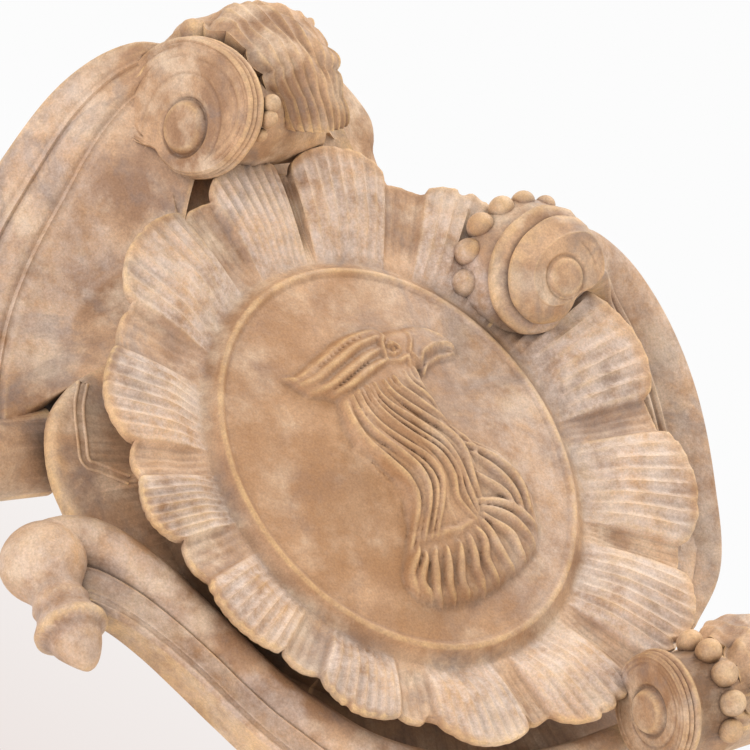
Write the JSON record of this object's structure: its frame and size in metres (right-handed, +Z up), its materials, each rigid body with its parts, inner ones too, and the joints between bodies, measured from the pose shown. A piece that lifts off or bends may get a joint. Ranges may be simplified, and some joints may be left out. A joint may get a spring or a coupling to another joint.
{
  "type": "rococo cartouche",
  "caption": "Carved stone cartouche: oval boss with an eagle's head in low relief, ruffled shell frame, scrolls, beads and acanthus leaves, flat back for fixing",
  "frame": {"origin": "on the flat back, straight behind the middle of the oval boss", "axes": "+Z up, -Y out of the carved front, +X to the viewer's right; the flat back lies in the plane Y = 0"},
  "size_m": [0.4279, 0.1499, 0.4491],
  "materials": {
    "alabaster": "honed, veined tan alabaster with worn edges"
  },
  "bodies": {
    "root": {"cartouche": "alabaster"}
  },
  "joints": []
}
